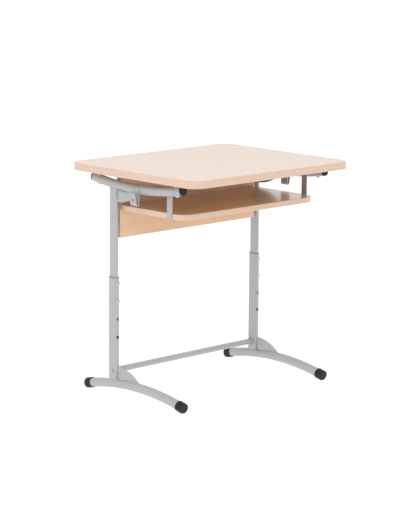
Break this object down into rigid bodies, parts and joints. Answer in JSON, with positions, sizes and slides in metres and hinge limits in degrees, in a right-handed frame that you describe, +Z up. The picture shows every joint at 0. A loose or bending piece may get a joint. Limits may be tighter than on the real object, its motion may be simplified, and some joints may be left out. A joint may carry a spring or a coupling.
{
  "type": "school desk",
  "caption": "School desk with a height adjustable two-column frame on arched feet, a rounded tabletop, a book shelf, a front panel and bag hooks.",
  "frame": {"origin": "on the floor below the middle of the tabletop", "axes": "+X to the sitter's right, +Y from the sitter's side to the panel side, +Z up"},
  "size_m": [0.728, 0.604, 0.76],
  "materials": {
    "frame_steel": "satin powder coat",
    "bright_steel": "bright zinc",
    "black_plastic": "matt",
    "guide_plastic": "matt",
    "board_core": "chipboard",
    "tabletop_laminate": "satin wood-grain laminate",
    "balancing_laminate": "matt wood-grain laminate",
    "board_laminate": "satin wood-grain laminate",
    "edge_band": "satin"
  },
  "bodies": {
    "lower_frame": {"left_foot_tube": "frame_steel", "left_front_foot_cap": "black_plastic", "left_rear_foot_cap": "black_plastic", "left_lower_post": "frame_steel", "left_foot_gusset": "frame_steel", "left_guide_bush": "guide_plastic", "right_foot_tube": "frame_steel", "right_front_foot_cap": "black_plastic", "right_rear_foot_cap": "black_plastic", "right_lower_post": "frame_steel", "right_foot_gusset": "frame_steel", "right_guide_bush": "guide_plastic", "crossbar": "frame_steel", "crossbar_inserts": "bright_steel", "crossbar_washers": "bright_steel", "crossbar_bolts": "bright_steel", "height_bolts": "bright_steel"},
    "upper_frame": {"left_upper_post": "frame_steel", "left_post_glide": "guide_plastic", "left_top_arc": "frame_steel", "left_front_arc_plug": "black_plastic", "left_rear_arc_plug": "black_plastic", "left_top_gusset": "frame_steel", "left_bag_hook": "frame_steel", "left_shelf_strap": "frame_steel", "left_shelf_angle": "bright_steel", "left_panel_lugs": "frame_steel", "right_upper_post": "frame_steel", "right_post_glide": "guide_plastic", "right_top_arc": "frame_steel", "right_front_arc_plug": "black_plastic", "right_rear_arc_plug": "black_plastic", "right_top_gusset": "frame_steel", "right_bag_hook": "frame_steel", "right_shelf_strap": "frame_steel", "right_shelf_angle": "bright_steel", "right_panel_lugs": "frame_steel", "height_nuts": "bright_steel", "tabletop_spacers": "frame_steel", "tabletop_screws": "bright_steel", "shelf_screws": "bright_steel", "panel_screws": "bright_steel", "tabletop_core": "board_core", "tabletop_top_laminate": "tabletop_laminate", "tabletop_bottom_laminate": "balancing_laminate", "tabletop_edge_band": "edge_band", "shelf_board": "board_laminate", "shelf_edge_band": "edge_band", "modesty_panel": "board_laminate", "modesty_edge_band": "edge_band"}
  },
  "joints": [
    {"name": "height_slide", "type": "slide", "parent": "lower_frame", "child": "upper_frame", "axis": [0, 0, 1], "range_m": [-0.12, 0]}
  ]
}
